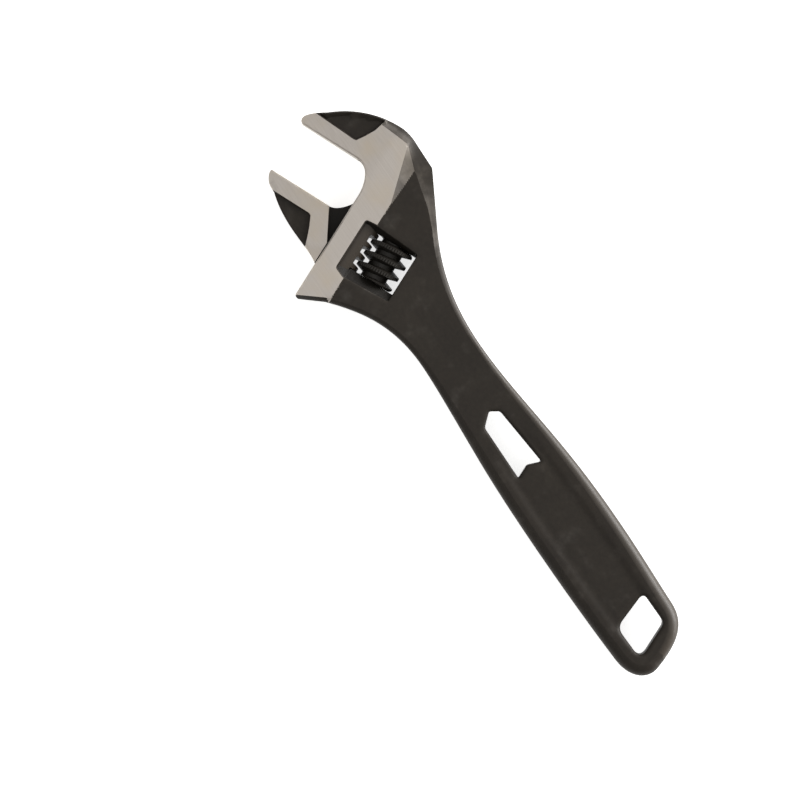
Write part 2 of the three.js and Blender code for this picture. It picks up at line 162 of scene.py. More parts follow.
# A flat forging: an outline with a height for every point, the same on both faces.
def forging(name, loop, holes, creases, rings, height, spacing, place, wallOf=None):
    points, edges = [], []

    def put(line, keep=None, closed=True):
        first = len(points)
        points.extend(map(Vector, line))
        n = len(line)
        for i in range(n if closed else n - 1):
            j = (i + 1) % n
            if keep is None or (keep[i] and keep[j]):
                edges.append((first + i, first + j))

    put(loop)
    for hole in holes:
        put(hole)
    for line in creases:
        put(line, closed=False)
    for ring, keep in rings:
        put(ring, keep)
    lines = [(loop, True)] + [(h, True) for h in holes] + [(c, False) for c in creases]
    lines += [(ring[keep], True) for ring, keep in rings]
    points.extend(map(Vector, gridInside(loop, lines, spacing)))
    made = delaunay_2d_cdt(points, edges, [], 1, 1e-5, False)
    flat = np.array([tuple(v) for v in made[0]])
    tris = np.array([f for f in made[2] if len(f) == 3])
    centre = flat[tris].mean(1)
    keep = inside(centre, loop)
    for hole in holes:
        keep &= ~inside(centre, hole)
    tris = tris[keep]
    used = np.unique(tris)
    renumber = np.full(len(flat), -1)
    renumber[used] = np.arange(len(used))
    flat, tris = flat[used], renumber[tris]
    z = height(flat)
    n = len(flat)
    verts = np.vstack([np.column_stack([flat, z]), np.column_stack([flat, -z])])
    faces = [tuple(t) for t in tris] + [tuple(t[::-1] + n) for t in tris]
    directed = {(t[k], t[(k + 1) % 3]) for t in tris for k in range(3)}
    rim = [(a, b) for a, b in directed if (b, a) not in directed]
    # where the wall is not upright it gets two more rings of points between the faces
    extra = []
    middle = {}
    if wallOf is not None:
        ends = np.unique(np.array(rim))
        target = wallOf(flat[ends])
        for k, (x, y, depth) in zip(ends, target):
            if depth > 0:
                middle[k] = (2 * n + len(extra), 2 * n + len(extra) + 1)
                extra += [(x, y, depth), (x, y, -depth)]
    for a, b in rim:
        if a in middle and b in middle:
            (a1, a2), (b1, b2) = middle[a], middle[b]
            faces += [(b, a, a1, b1), (b1, a1, a2, b2), (b2, a2, a + n, b + n)]
        else:
            faces.append((b, a, a + n, b + n))
    if extra:
        verts = np.vstack([verts, np.array(extra)])
    mesh = bpy.data.meshes.new(name)
    mesh.from_pydata((verts * mm).tolist(), [], [tuple(map(int, f)) for f in faces])
    mesh.transform(place)
    obj = bpy.data.objects.new(name, mesh)
    bpy.context.collection.objects.link(obj)
    return obj


def meshObject(name, bm, place=Matrix.Identity(4)):
    bmesh.ops.remove_doubles(bm, verts=bm.verts, dist=1e-8)
    bmesh.ops.recalc_face_normals(bm, faces=bm.faces)
    mesh = bpy.data.meshes.new(name)
    bm.to_mesh(mesh)
    bm.free()
    mesh.transform(place)
    obj = bpy.data.objects.new(name, mesh)
    bpy.context.collection.objects.link(obj)
    return obj


# A bar turned on v: a side view of (radius, v) pairs spun round.
def turned(name, side, segments, place, u=0):
    bm = bmesh.new()
    rings = []
    for r, v in side:
        if r == 0:
            rings.append([bm.verts.new((u * mm, v * mm, 0))])
            continue
        ring = []
        for a in (2 * math.pi * k / segments for k in range(segments)):
            ring.append(bm.verts.new(((u + r * math.cos(a)) * mm, v * mm, r * math.sin(a) * mm)))
        rings.append(ring)
    for low, high in zip(rings[:-1], rings[1:]):
        for k in range(segments):
            j = (k + 1) % segments
            corners = [low[k % len(low)], low[j % len(low)], high[j % len(high)], high[k % len(high)]]
            bm.faces.new(list(dict.fromkeys(corners)))
    return meshObject(name, bm, place)


def prism(name, corners, low, high, place):
    bm = bmesh.new()
    bottom = [bm.verts.new((x * mm, y * mm, low * mm)) for x, y in corners]
    top = [bm.verts.new((x * mm, y * mm, high * mm)) for x, y in corners]
    bm.faces.new(bottom[::-1])
    bm.faces.new(top)
    for k in range(len(corners)):
        j = (k + 1) % len(corners)
        bm.faces.new((bottom[k], bottom[j], top[j], top[k]))
    return meshObject(name, bm, place)


# Adds or cuts other solids, leaves one plain mesh, and removes the cutters.
def combine(obj, others, operation):
    for other in others:
        mod = obj.modifiers.new("solid", "BOOLEAN")
        mod.operation = operation
        mod.solver = "EXACT"
        mod.object = other
        bake(obj)
        bpy.data.objects.remove(other, do_unlink=True)
    return obj


def bake(obj):
    graph = bpy.context.evaluated_depsgraph_get()
    graph.update()
    mesh = bpy.data.meshes.new_from_object(obj.evaluated_get(graph))
    old = obj.data
    obj.modifiers.clear()
    obj.data = mesh
    bpy.data.meshes.remove(old)


def setFinish(obj, material):
    obj.data.materials.clear()
    obj.data.materials.append(material)


# Coordinates read from a mesh, in a piece's own axes and in millimetres.
def ownPoints(flat, place):
    inv = np.array(place.inverted())
    return (flat.reshape(-1, 3) @ inv[:3, :3].T + inv[:3, 3]) / mm


def vertexPoints(obj, place):
    co = np.empty(len(obj.data.vertices) * 3)
    obj.data.vertices.foreach_get("co", co)
    return ownPoints(co, place)


# The middle of every face, and how squarely it looks up or down.
def facePoints(obj, place):
    faces = obj.data.polygons
    centre, normal = np.empty(len(faces) * 3), np.empty(len(faces) * 3)
    faces.foreach_get("center", centre)
    faces.foreach_get("normal", normal)
    return ownPoints(centre, place), np.abs(normal.reshape(-1, 3)[:, 2])


# Smooth shading, sharp over an angle and along the creases.
def shade(obj, degrees, creases=(), place=rowPlace):
    mesh = obj.data
    mesh.shade_smooth()
    mesh.set_sharp_from_angle(angle=math.radians(degrees))
    if len(creases):
        flat = vertexPoints(obj, place)
        near = np.zeros(len(flat), int) - 1
        for k, line in enumerate(creases):
            near[nearest(flat[:, :2], line, False)[0] < 0.01] = k
        sharp = mesh.attributes.get("sharp_edge")
        if sharp is None:
            sharp = mesh.attributes.new("sharp_edge", "BOOLEAN", "EDGE")
        values = np.empty(len(mesh.edges), bool)
        sharp.data.foreach_get("value", values)
        pairs = np.empty(len(mesh.edges) * 2, int)
        mesh.edges.foreach_get("vertices", pairs)
        a, b = pairs.reshape(-1, 2).T
        values |= (near[a] >= 0) & (near[a] == near[b])
        sharp.data.foreach_set("value", values)


# Body.

body = {
    "land": 5.4, "black": 4.9, "neck": 3.5, "handle": 3.7, "taper": 0.075, "pocket": 0.8,
    "edgeU": -13.65, "landRight": -5.85, "faceV": 17.8, "tipU": -34.97, "tailV": -18.2,
    "crestV": 4.25, "crestRadius": 25.5, "panel": 0.34, "groove": 0.1, "pocketSlope": 0.35, "lip": 0.4,
    "facetV": 12.6, "facetNormal": (0.96, 0.28), "facetSlope": 0.2, "lean": 0.05, "landBlend": 0.14,
    "rackU": -8.25, "bore": 4.1, "boreTop": 25.1, "slot": 1.85, "slotTop": 21.87,
    "pinHead": 2.2, "pinHeadTop": -8.1, "pin": 1.58, "pinTop": 9.6, "cutFrom": -26,
}


def bodyThickness(x):
    black = body["black"] + (body["neck"] - body["black"]) * smooth(x, -37, -15)
    return black + (body["handle"] - body["neck"]) * smooth(x, 0, 16)


# The outer edge, in parts. Each part ends with how its rim is broken: width, drop and how round it is.
def bodyEdge():
    edgeU, faceV, tipU, tailV = body["edgeU"], body["faceV"], body["tipU"], body["tailV"]
    radius = body["crestRadius"]
    crown = fromHead(edgeU, body["crestV"])
    turn = head["angle"]
    nose, neckEnd = math.acos((tipU + 4.5 - edgeU) / radius), math.pi / 2
    pocketEnd, bevelStart = math.acos((-17.9 - edgeU) / radius), math.acos((-17.1 - edgeU) / radius)

    def at(a):
        return fromHead(edgeU + radius * math.cos(a), body["crestV"] + radius * math.sin(a))

    fine = (0.35, 0.28, 0)
    noseLow, noseEnd = fromHead(tipU + 1, faceV), fromHead(tipU, faceV + 0.8)
    noseBulge = fromHead(tipU - 0.5, faceV + 2.1)
    throat = [fromHead(u, v) for u, v in [(edgeU, 10.4), (edgeU, 14.2), (-15.6, faceV), (-18.2, faceV)]]
    tail = fromHead(edgeU + 0.9, tailV)
    tailTop = fromHead(edgeU, tailV + 1.2)
    parts = [
        (bezier([noseLow, fromHead(tipU + 0.25, faceV), noseEnd], 0.2), fine),
        (bezier([noseEnd, noseBulge, fromHead(tipU + 2.1, faceV + 4.1), at(nose)], 0.3), fine),
        (arc(crown, radius, nose + turn, pocketEnd + turn), fine),
        (arc(crown, radius, pocketEnd + turn, bevelStart + turn, 0.2), (1.1, 0.75, 0)),
        (arc(crown, radius, bevelStart + turn, neckEnd + turn), (1.35, 0.75, 0)),
        (bezier([at(neckEnd), fromHead(-11.6, 29.7), fromHead(-9.6, 28.9)]), (1.13, 0.8, 0)),
        (bezier([fromHead(-9.6, 28.9), fromHead(-6.5, 27.48)]), (2.41, 0.83, 0)),
        (bezier([fromHead(-6.5, 27.48), fromHead(-3.7, 26.2)]), (3.97, 0.85, 0)),
        (bezier([fromHead(-3.7, 26.2), fromHead(-2.15, 25.5)]), (4.2, 0.85, 0)),
        (bezier([fromHead(-2.15, 25.5), fromHead(0.26, 22.31)]), (3.3, 0.8, 0)),
        (bezier([fromHead(0.26, 22.31), fromHead(3.55, 17.96)]), (1.85, 0.7, 0.1)),
        (bezier([fromHead(3.55, 17.96), (-38, 14.6)]), (1.25, 0.6, 0.3)),
        (bezier([(-38, 14.6), (-29, 9.4), (-20, 7.2), (-9, 7.2)]), (1.2, 1.0, 1)),
        (bezier([(-9, 7.2), (6, 7.2), (18, 10.15), (40, 10.15)]), (2.4, 2.1, 1)),
        (bezier([(40, 10.15), (52, 10.15), (58, 9.6), (68, 9.2)]), (2.6, 2.3, 1)),
        (bezier([(68, 9.2), (74.4, 8.8), (76.8, 3.6), (78.6, -2.6)]), (2.6, 2.3, 1)),
        (bezier([(78.6, -2.6), (79.6, -6.4), (76.4, -9.6), (71, -9.75)]), (2.6, 2.3, 1)),
        (bezier([(71, -9.75), (56, -10.3), (30, -10.3), (14, -9.1)]), (2.2, 2.0, 1)),
        (bezier([(14, -9.1), (2, -8.2), (-8, -7.15), (-14, -7.15)]), (1.3, 1.1, 1)),
        (bezier([(-14, -7.15), (-26, -7.15), (-33, -12), (-39.6, -17.4)]), (0.9, 0.8, 0.3)),
        (bezier([(-39.6, -17.4), tail]), (0.8, 1.0, 0)),
        (bezier([tail, fromHead(edgeU - 0.1, tailV), tailTop], 0.25), (0.4, 0.4, 0)),
        (bezier([tailTop, throat[0]]), fine),
        (bezier(throat, 0.3), fine),
        (bezier([throat[-1], noseLow]), fine),
    ]
    loop, rims = [], []
    last = np.array(fine, float)
    for line, rim in parts:
        t = np.linspace(0, 1, len(line))[:-1, None]
        loop.append(line[:-1])
        rims.append(last * (1 - t) + np.array(rim) * t)
        last = np.array(rim, float)
    loop, rims = np.vstack(loop), np.vstack(rims)
    return loop[::-1].copy(), rims[::-1].copy()


# The width, drop and roundness of the rim at places along the edge.
def rimAt(where, rims):
    k = where.astype(int) % len(rims)
    t = (where - np.floor(where))[:, None]
    return (rims[k] * (1 - t) + rims[(k + 1) % len(rims)] * t).T


# How far a broken rim lies below the face, from the distance to the edge.
def rimDrop(d, rim):
    width, drop, roundness = rim
    far = d / width
    flat = 1 - far
    near = np.clip(flat, 0, 1)
    arcDrop = np.where(flat > 0, 1 - np.sqrt(np.maximum(1 - near ** 2, 0)), flat)
    return drop * ((1 - roundness) * flat + roundness * arcDrop)


bodyLoop, bodyRims = bodyEdge()
facetLine = np.array([fromHead(body["landRight"], body["facetV"]), fromHead(-10.08, 27.1)])

# Where the bevel over the crown and the shoulder meets the land and the facet, in (u, v).
bevelLine = np.array([(-17.9, 27.75), (-17.15, 27.7), (-13.65, 27.45), (-10.08, 27.1), (-5.35, 22.6)])


# The land's right edge leans out a little above the throat.
def landRight(v):
    return body["landRight"] + body["lean"] * np.maximum(v - body["facetV"], 0)


# How far a place lies past the line where the land turns into the facet beside it.
def pastFacet(u, v):
    x, y = body["facetNormal"]
    return (u - body["landRight"]) * x + (v - body["facetV"]) * y


# The fixed jaw's pocket, and the foot of its slope.
pocketCorners = [fromHead(u, v) for u, v in [
    (-38, 21.9), (-21.7, 21.2), (-21.1, 21.4), (-19.9, 23.3), (-18.6, 25.7), (-17.8, 28.6),
    (-17.8, 34), (-38, 34),
]]
pocketFoot = [fromHead(u, v) for u, v in [
    (-38, 22.25), (-21.9, 21.55), (-21.35, 21.7), (-20.2, 23.5), (-18.9, 25.8), (-18.1, 28.6),
]]

tailedHole = softCorners([
    (6.3, 1.95, 0.6), (21.9, 3.15, 0.8), (20.5, -0.2, 0.5),
    (21.95, -3.7, 0.5), (7.4, -3.4, 0.7), (4.75, -0.3, 0.5),
])
hangingHole = softCorners([(61.7, 5.0, 1.9), (70.4, 5.0, 1.3), (74.4, -4.75, 2.9), (64.95, -4.9, 2.2)])
windowCorners = [(-8.7, -6.9), (-6.2, -7.9), (6.0, -7.2), (6.0, 6.0), (-6.0, 6.6), (-8.7, 6.3)]
windowTop = np.array([fromHead(u, v) for u, v in softCorners([corner + (0.4,) for corner in windowCorners])])
windowWaist = {"low": -5.3, "high": 5.3, "depth": 3.2}

# How each opening's rim is broken: width and drop.
holeRims = ((tailedHole, 0.7, 0.5), (hangingHole, 0.9, 0.7), (windowTop, 0.3, 0.25))

panelLine = np.vstack([
    bezier([(10, -0.3), (10, 4.6), (12, 5.6), (22, 5.9)])[:-1],
    bezier([(22, 5.9), (36, 6.5), (50, 6.6), (61, 6.1)])[:-1],
    bezier([(61, 6.1), (66, 5.8), (75, 5.6), (75.2, -3.2), (75.4, -6.4), (72, -6.3)])[:-1],
    bezier([(72, -6.3), (50, -7.0), (36, -7.0), (22, -6.5)])[:-1],
    bezier([(22, -6.5), (12, -6.2), (10, -5.2), (10, -0.3)])[:-1],
])


def bodyHeight(p):
    local = toHead(p)
    u, v = local[:, 0], local[:, 1]
    black = bodyThickness(p[:, 0])
    land = body["land"] - body["taper"] * np.maximum(body["edgeU"] - u, 0)
    facet = body["land"] - body["facetSlope"] * np.maximum(pastFacet(u, v), 0) * smooth(v, 10, 14)
    ground = np.maximum(np.minimum(land, facet), np.minimum(black, land))
    onLand = smooth(landRight(v) - u, -body["landBlend"], body["landBlend"])
    face = black + (ground - black) * onLand
    plain = face
    # the pocket in the fixed jaw, with a thin rim left round it
    d, where = nearest(p, bodyLoop)
    pocket = np.array(pocketCorners)
    depth = np.where(inside(p, pocket), nearest(p, pocket)[0], 0)
    face = face - body["pocket"] * smooth(np.minimum(depth, d - body["lip"]), 0.0, body["pocketSlope"])
    # the sunk panel in the handle
    k = np.where(inside(p, panelLine), nearest(p, panelLine)[0], 0)
    fade = smooth(p[:, 0], 8, 24) * (1 - smooth(p[:, 0], 64, 74))
    groove = body["groove"] * np.exp(-((k - 1.6) / 0.9) ** 2) * (k > 0)
    face = face - fade * (body["panel"] * smooth(k, -0.2, 2.8) + groove)
    # narrow rims start from the face itself, the wide bevels from the level of the coated face
    rim = rimAt(where, bodyRims)
    level = plain + (np.minimum(black, land) - plain) * smooth(rim[0], 0.85, 1.05)
    rim = level - rimDrop(d, rim)
    made = np.minimum(face, rim)
    # the holes' own rims are broken too
    for hole, width, drop in holeRims:
        near = np.clip(1 - nearest(p, hole)[0] / width, 0, 1)
        made = made - drop * (1 - np.sqrt(1 - near ** 2))
    return made


# Below its rim the window narrows to a waist, so its two ends slope.
def windowWall(p):
    local = toHead(p)
    isWindow = nearest(p, windowTop)[0] < 0.01
    v = np.clip(local[:, 1], windowWaist["low"], windowWaist["high"])
    xy = np.array([fromHead(a, b) for a, b in zip(local[:, 0], v)])
    return [(x, y, windowWaist["depth"] if w else 0) for (x, y), w in zip(xy, isWindow)]


def ringsOf(loop, widths, steps):
    return [inset(loop, widths * f) for f in steps]


def buildBody():
    edges = []
    for side in (-body["landBlend"], body["landBlend"]):
        edges.append(dense([fromHead(landRight(v) + side, v) for v in (-22, 12.6, 22.6)], 0.6))
    shoulder = dense([fromHead(u, v) for u, v in bevelLine], 0.4)
    pocket = [dense(pocketCorners[:6], 0.5), dense(pocketFoot, 0.5)]
    creases = edges + [dense(facetLine, 0.5)] + pocket + [shoulder]
    rings = ringsOf(bodyLoop, bodyRims[:, 0], (0.06, 0.2, 0.4, 0.65, 1.0))
    ring, keep = rings[-1]
    rimFoot = ring[keep]
    holes = [tailedHole[::-1], hangingHole[::-1], windowTop[::-1]]
    for hole, width, _ in holeRims:
        left = leftOf(hole)
        away = -left if inside(hole[:1] + left[:1] * 0.05, hole)[0] else left
        for f in (0.1, 0.4, 1.0):
            moved = hole + away * width * f
            rings.append((moved, nearest(moved, hole)[0] > 0.9 * width * f))
    # the slope into the sunk panel, kept clear of both holes
    slope = [(panelLine, np.ones(len(panelLine), bool))]
    slope += [inset(panelLine[::-1], q) for q in (0.5, 1.0, 1.5, 2.1, 2.8)]
    for moved, keep in slope:
        keep = keep & ~inside(moved, hangingHole) & (nearest(moved, hangingHole)[0] > 1.1)
        rings.append((moved, keep & (nearest(moved, tailedHole)[0] > 0.9)))
    obj = forging("forgedBody", bodyLoop, holes, creases, rings, bodyHeight, 1.1, rowPlace, windowWall)
    # the rack's bore with the slot for the jaw's web, and the pin's bore
    b, low = body, body["cutFrom"]
    slotTop = b["slotTop"]
    slot = [(b["rackU"], -24), (b["rackU"], slotTop), (b["edgeU"], slotTop), (-18.8, 17.6), (-20, -24)]
    bore = [(0, low), (b["bore"], low), (b["bore"], b["boreTop"]), (0, b["boreTop"])]
    pinHead = [(0, low), (b["pinHead"], low), (b["pinHead"], b["pinHeadTop"]), (0, b["pinHeadTop"])]
    pinHole = [(0, -18), (b["pin"], -18), (b["pin"], b["pinTop"]), (0, b["pinTop"])]
    cuts = [
        turned("boreCut", bore, 96, headPlace, u=b["rackU"]),
        prism("slotCut", slot, -b["slot"], b["slot"], headPlace),
        turned("pinHeadCut", pinHead, 64, headPlace),
        turned("pinCut", pinHole, 64, headPlace),
    ]
    combine(obj, cuts, "DIFFERENCE")
    shade(obj, 32, creases + [np.vstack([rimFoot, rimFoot[:1]])])
    return obj


forgedBody = buildBody()
print("body", len(forgedBody.data.polygons))

# Movable jaw.

jaw = {
    "half": 5.2, "web": 1.7, "faceV": 4.6, "tipU": -34.95, "hookU": -18.25, "rightU": -13.9, "heelV": -8.8,
    "webTop": 8.3, "pocket": 0.8, "rackRadius": 4.0, "rackLow": -15.0, "rackHigh": 11.6, "chamfer": 0.5,
}
screw = {"pitch": 3.1, "toothDepth": 1.9, "grooveRoot": 1.8, "grooveMouth": 2.2, "shift": -0.2}


def jawLoop():
    faceV, tipU, rightU, heelV, webTop = (jaw[key] for key in ("faceV", "tipU", "rightU", "heelV", "webTop"))
    hookU, rackU, edgeU = jaw["hookU"], body["rackU"], body["edgeU"]
    fine, back, hidden = (0.35, 0.28, 0), (0.7, 0.6, 0.5), (0.2, 0.1, 0)
    walk = [
        ([(tipU + 0.4, faceV), (tipU + 0.05, faceV - 0.45), (tipU + 0.3, 2.6), (-33.0, 1.2)], fine),
        ([(-33.0, 1.2), (-32.4, 0.8), (-31.2, 0.3)], back),
        ([(-31.2, 0.3), (-24.5, -5.5), (-17.5, -6.2), (rightU, heelV)], back),
        ([(rightU, heelV), (rackU, heelV)], hidden),
        ([(rackU, heelV), (rackU, webTop)], hidden),
        ([(rackU, webTop), (edgeU, webTop)], hidden),
        ([(edgeU, webTop), (-15.9, faceV + 0.2), (hookU, faceV)], hidden),
        ([(hookU, faceV), (tipU + 0.4, faceV)], fine),
    ]
    loop = [bezier(points, 0.35)[:-1] for points, _ in walk]
    rims = [np.tile(rim, (len(line), 1)) for line, (_, rim) in zip(loop, walk)]
    return np.vstack(loop), np.vstack(rims).astype(float)


hookLoop, hookRims = jawLoop()

# The hook's inner edge, where it steps down to the web, and its pocket with the foot of the pocket's slope.
hookInner = [(jaw["hookU"], jaw["faceV"]), (jaw["rightU"], -3.2), (jaw["rightU"], jaw["heelV"])]
jawPocket = [
    (-38, 0.6), (-21.35, 0.6), (-20.75, 0.3), (-19.65, -1.9), (-18.65, -4.4), (-17.95, -6.4),
    (-17.4, -12), (-38, -12),
]
jawPocketFoot = [
    (-38, 0.25), (-21.55, 0.25), (-21.0, 0.05), (-19.97, -2.05), (-18.98, -4.53), (-18.3, -6.5),
    (-17.75, -12),
]
stepWidth = 0.16


def jawHeight(p):
    u, v = p[:, 0], p[:, 1]
    land = jaw["half"] - body["taper"] * np.maximum(body["edgeU"] - u, 0)
    d, where = nearest(p, hookLoop)
    pocket = np.array(jawPocket)
    deep = np.where(inside(p, pocket), nearest(p, pocket)[0], 0)
    sunk = smooth(deep, 0, body["pocketSlope"])
    face = land - jaw["pocket"] * sunk
    # a shallow facet at the foot of the leg
    foot = (u + 16.9) * 0.5 - (v + 5.4) * 0.87
    face = face - 0.16 * np.clip(foot, 0, 3) * (1 - sunk)
    face = np.minimum(face, land - rimDrop(d, rimAt(where, hookRims)))
    # everything behind the hook's inner edge is the thin web
    side = np.array(hookInner + [(jaw["rightU"], -30), (10, -30), (10, 30), (jaw["hookU"], 30)])
    behind = np.where(inside(p, side), nearest(p, hookInner, False)[0], 0)
    return np.where(behind > stepWidth * 0.5, jaw["web"], face)


# Adds one node to a tree with its settings and its links.
def add(tree, kind, settings=None, **inputs):
    node = tree.nodes.new(kind)
    for key, value in (settings or {}).items():
        setattr(node, key, value)
    for key, value in inputs.items():
        name = key.replace("_", " ")
        sockets = [s for s in node.inputs if s.name == name and s.enabled]
        socket = sockets[0] if sockets else node.inputs[int(key[1:])]
        if isinstance(value, bpy.types.NodeSocket):
            tree.links.new(value, socket)
        else:
            socket.default_value = value
    return node


def mixColour(tree, factor, first, second):
    return add(tree, "ShaderNodeMix", {"data_type": "RGBA"}, i0=factor, i6=first, i7=second)


def mixValue(tree, factor, first, second):
    return add(tree, "ShaderNodeMix", {"data_type": "FLOAT"}, i0=factor, i2=first, i3=second)


def timesPlus(tree, value, times, plus):
    return add(tree, "ShaderNodeMath", {"operation": "MULTIPLY_ADD"}, i0=value, i1=times, i2=plus)


def mapRange(tree, value, low, high, curve="LINEAR", **ends):
    settings = {"interpolation_type": curve}
    node = add(tree, "ShaderNodeMapRange", settings, Value=value, From_Min=low, From_Max=high, **ends)
    return node.outputs[0]


def noise(tree, coord, scale, detail, roughness=0.5):
    return add(tree, "ShaderNodeTexNoise", Vector=coord, Scale=scale, Detail=detail, Roughness=roughness)


def geometryTree(name, sizes):
    tree = bpy.data.node_groups.new(name, "GeometryNodeTree")
    tree.interface.new_socket("Geometry", in_out="INPUT", socket_type="NodeSocketGeometry")
    for key, value in sizes.items():
        kinds = {int: "NodeSocketInt", bpy.types.Material: "NodeSocketMaterial"}
        kind = kinds.get(type(value), "NodeSocketFloat")
        tree.interface.new_socket(key, in_out="INPUT", socket_type=kind)
    tree.interface.new_socket("Geometry", in_out="OUTPUT", socket_type="NodeSocketGeometry")
    return tree, tree.nodes.new("NodeGroupInput"), tree.nodes.new("NodeGroupOutput")


# Puts a tree on an object with its sizes, and leaves the plain mesh it makes.
def runTree(obj, tree, sizes):
    mod = obj.modifiers.new("nodes", "NODES")
    mod.node_group = tree
    ids = {item.name: item.identifier for item in tree.interface.items_tree if item.in_out == "INPUT"}
    for key, value in sizes.items():
        mod[ids[key]] = value
    bake(obj)
    return obj


# Materials.

def linear(hexColour):
    parts = [int(hexColour[k:k + 2], 16) / 255 for k in (1, 3, 5)]
    return tuple(c / 12.92 if c <= 0.04045 else ((c + 0.055) / 1.055) ** 2.4 for c in parts) + (1.0,)


def newMaterial(name):
    material = bpy.data.materials.new(name)
    material.use_nodes = True
    tree = material.node_tree
    tree.nodes.clear()
    shader = tree.nodes.new("ShaderNodeBsdfPrincipled")
    out = tree.nodes.new("ShaderNodeOutputMaterial")
    tree.links.new(shader.outputs["BSDF"], out.inputs["Surface"])
    return material, tree, shader


# Manganese phosphate on forged chrome-vanadium steel, with the raised faces ground bare afterwards.
# The coat is a dull brown-black with a fine crystal speckle; the bare steel is a warm satin grey with
# straight grinding lines. The face attribute "bare" says how far the coat has been taken off; on the facet
# and the bevels its amount is painted shade and painted reflection, and below 0 it darkens the coat as
# painted shade. The point attribute for polish says how far hands have burnished it along the rims, kept
# low on the lower rims as painted shade.
forgedFinish = {
    "coat": "#231f1b", "coatLight": "#2f2a24", "coatRough": 0.52, "paintedShade": "#070604",
    "burnished": "#423a31", "burnishedRough": 0.36,
    "bare": "#c8c1ba", "bareDark": "#bab3ab", "bareWarm": "#c3b8a8", "bareRough": 0.44,
    "crystal": 0.00025, "forging": 0.0012, "grind": 0.00009, "grindAlong": 0.010,
}


def forgedSteel(name, angle):
    f = forgedFinish
    material, tree, shader = newMaterial(name)
    coord = add(tree, "ShaderNodeTexCoord").outputs["Object"]
    bareAndPaintedLight = add(tree, "ShaderNodeAttribute", {"attribute_name": "bare"}).outputs["Fac"]
    polishAndSideShade = add(tree, "ShaderNodeAttribute", {"attribute_name": "polishAndSideShade"}).outputs["Fac"]
    crystal = noise(tree, coord, 1 / f["crystal"] / 4, 2.0, 0.6)
    lumps = noise(tree, coord, 1 / f["forging"] / 4, 3.0, 0.55)
    cloud = noise(tree, coord, 90.0, 3.0, 0.6)
    turnedCoord = add(tree, "ShaderNodeMapping", Vector=coord, Rotation=(0, 0, -angle),
                      Scale=(f["grind"] / f["grindAlong"], 1.0, 1.0)).outputs["Vector"]
    lines = noise(tree, turnedCoord, 1 / f["grind"] / 4, 3.0, 0.7)
    # the coat wears through in specks along its edge
    speck = timesPlus(tree, lumps.outputs["Fac"], 0.5, -0.25)
    wornThrough = add(tree, "ShaderNodeMath", {"operation": "ADD"}, i0=bareAndPaintedLight, i1=speck.outputs[0])
    bare = mapRange(tree, wornThrough.outputs[0], 0.0, 1.0, "SMOOTHSTEP")
    speckle = timesPlus(tree, crystal.outputs["Fac"], 0.6, 0.1)
    mottled = timesPlus(tree, cloud.outputs["Fac"], 0.7, speckle.outputs[0])
    spread = mapRange(tree, mottled.outputs[0], 0.45, 1.05)
    coatColour = mixColour(tree, spread, linear(f["coat"]), linear(f["coatLight"]))
    grind = mapRange(tree, lines.outputs["Fac"], 0.3, 0.7)
    groundColour = mixColour(tree, grind, linear(f["bareDark"]), linear(f["bare"]))
    warmth = mapRange(tree, cloud.outputs["Fac"], 0.45, 0.7, To_Max=0.8)
    steelColour = mixColour(tree, warmth, groundColour.outputs[2], linear(f["bareWarm"]))
    # below 0 the mask darkens the coat towards near black: painted shade in recesses
    outOfShade = mapRange(tree, bareAndPaintedLight, -1.0, 0.0)
    shadedCoat = mixColour(tree, outOfShade, linear(f["paintedShade"]), coatColour.outputs[2])
    handled = mixColour(tree, polishAndSideShade, shadedCoat.outputs[2], linear(f["burnished"]))
    colour = mixColour(tree, bare, handled.outputs[2], steelColour.outputs[2])
    tree.links.new(colour.outputs[2], shader.inputs["Base Color"])
    tree.links.new(bare, shader.inputs["Metallic"])
    coatRough = timesPlus(tree, cloud.outputs["Fac"], 0.16, f["coatRough"] - 0.08)
    steelRough = timesPlus(tree, grind, 0.14, f["bareRough"] - 0.07)
    handledRough = mixValue(tree, polishAndSideShade, coatRough.outputs[0], f["burnishedRough"])
    rough = mixValue(tree, bare, handledRough.outputs[0], steelRough.outputs[0])
    tree.links.new(rough.outputs[0], shader.inputs["Roughness"])
    gloss = timesPlus(tree, polishAndSideShade, 0.3, 0.2)
    tree.links.new(gloss.outputs[0], shader.inputs["Specular IOR Level"])
    grain = mixValue(tree, bare, lumps.outputs["Fac"], lines.outputs["Fac"])
    depth = timesPlus(tree, crystal.outputs["Fac"], 0.25, grain.outputs[0])
    bump = add(tree, "ShaderNodeBump", Height=depth.outputs[0], Strength=0.35, Distance=0.00006)
    tree.links.new(bump.outputs["Normal"], shader.inputs["Normal"])
    return material


# Black oxide on turned steel: a thin hot-dipped black with faint turning rings, browner where handled.
oxideFinish = {"black": "#25221e", "worn": "#302c27", "rough": 0.45, "rings": 0.00022}


def blackOxide(name, lightness=0.0):
    f = oxideFinish
    material, tree, shader = newMaterial(name)
    coord = add(tree, "ShaderNodeTexCoord").outputs["Object"]
    along = add(tree, "ShaderNodeMapping", Vector=coord, Rotation=(0, 0, -head["angle"]),
                Scale=(0.15, 1.0, 0.15)).outputs["Vector"]
    rings = noise(tree, along, 1 / f["rings"] / 4, 3.0)
    cloud = noise(tree, coord, 400.0, 3.0)
    shine = mapRange(tree, cloud.outputs["Fac"], 0.42, 0.75, To_Min=lightness, To_Max=lightness + 0.5)
    colour = mixColour(tree, shine, linear(f["black"]), linear(f["worn"]))
    tree.links.new(colour.outputs[2], shader.inputs["Base Color"])
    rough = timesPlus(tree, rings.outputs["Fac"], 0.2, f["rough"] - 0.1)
    tree.links.new(rough.outputs[0], shader.inputs["Roughness"])
    shader.inputs["Metallic"].default_value = 0.35
    bump = add(tree, "ShaderNodeBump", Height=rings.outputs["Fac"], Strength=0.3, Distance=0.00004)
    tree.links.new(bump.outputs["Normal"], shader.inputs["Normal"])
    return material
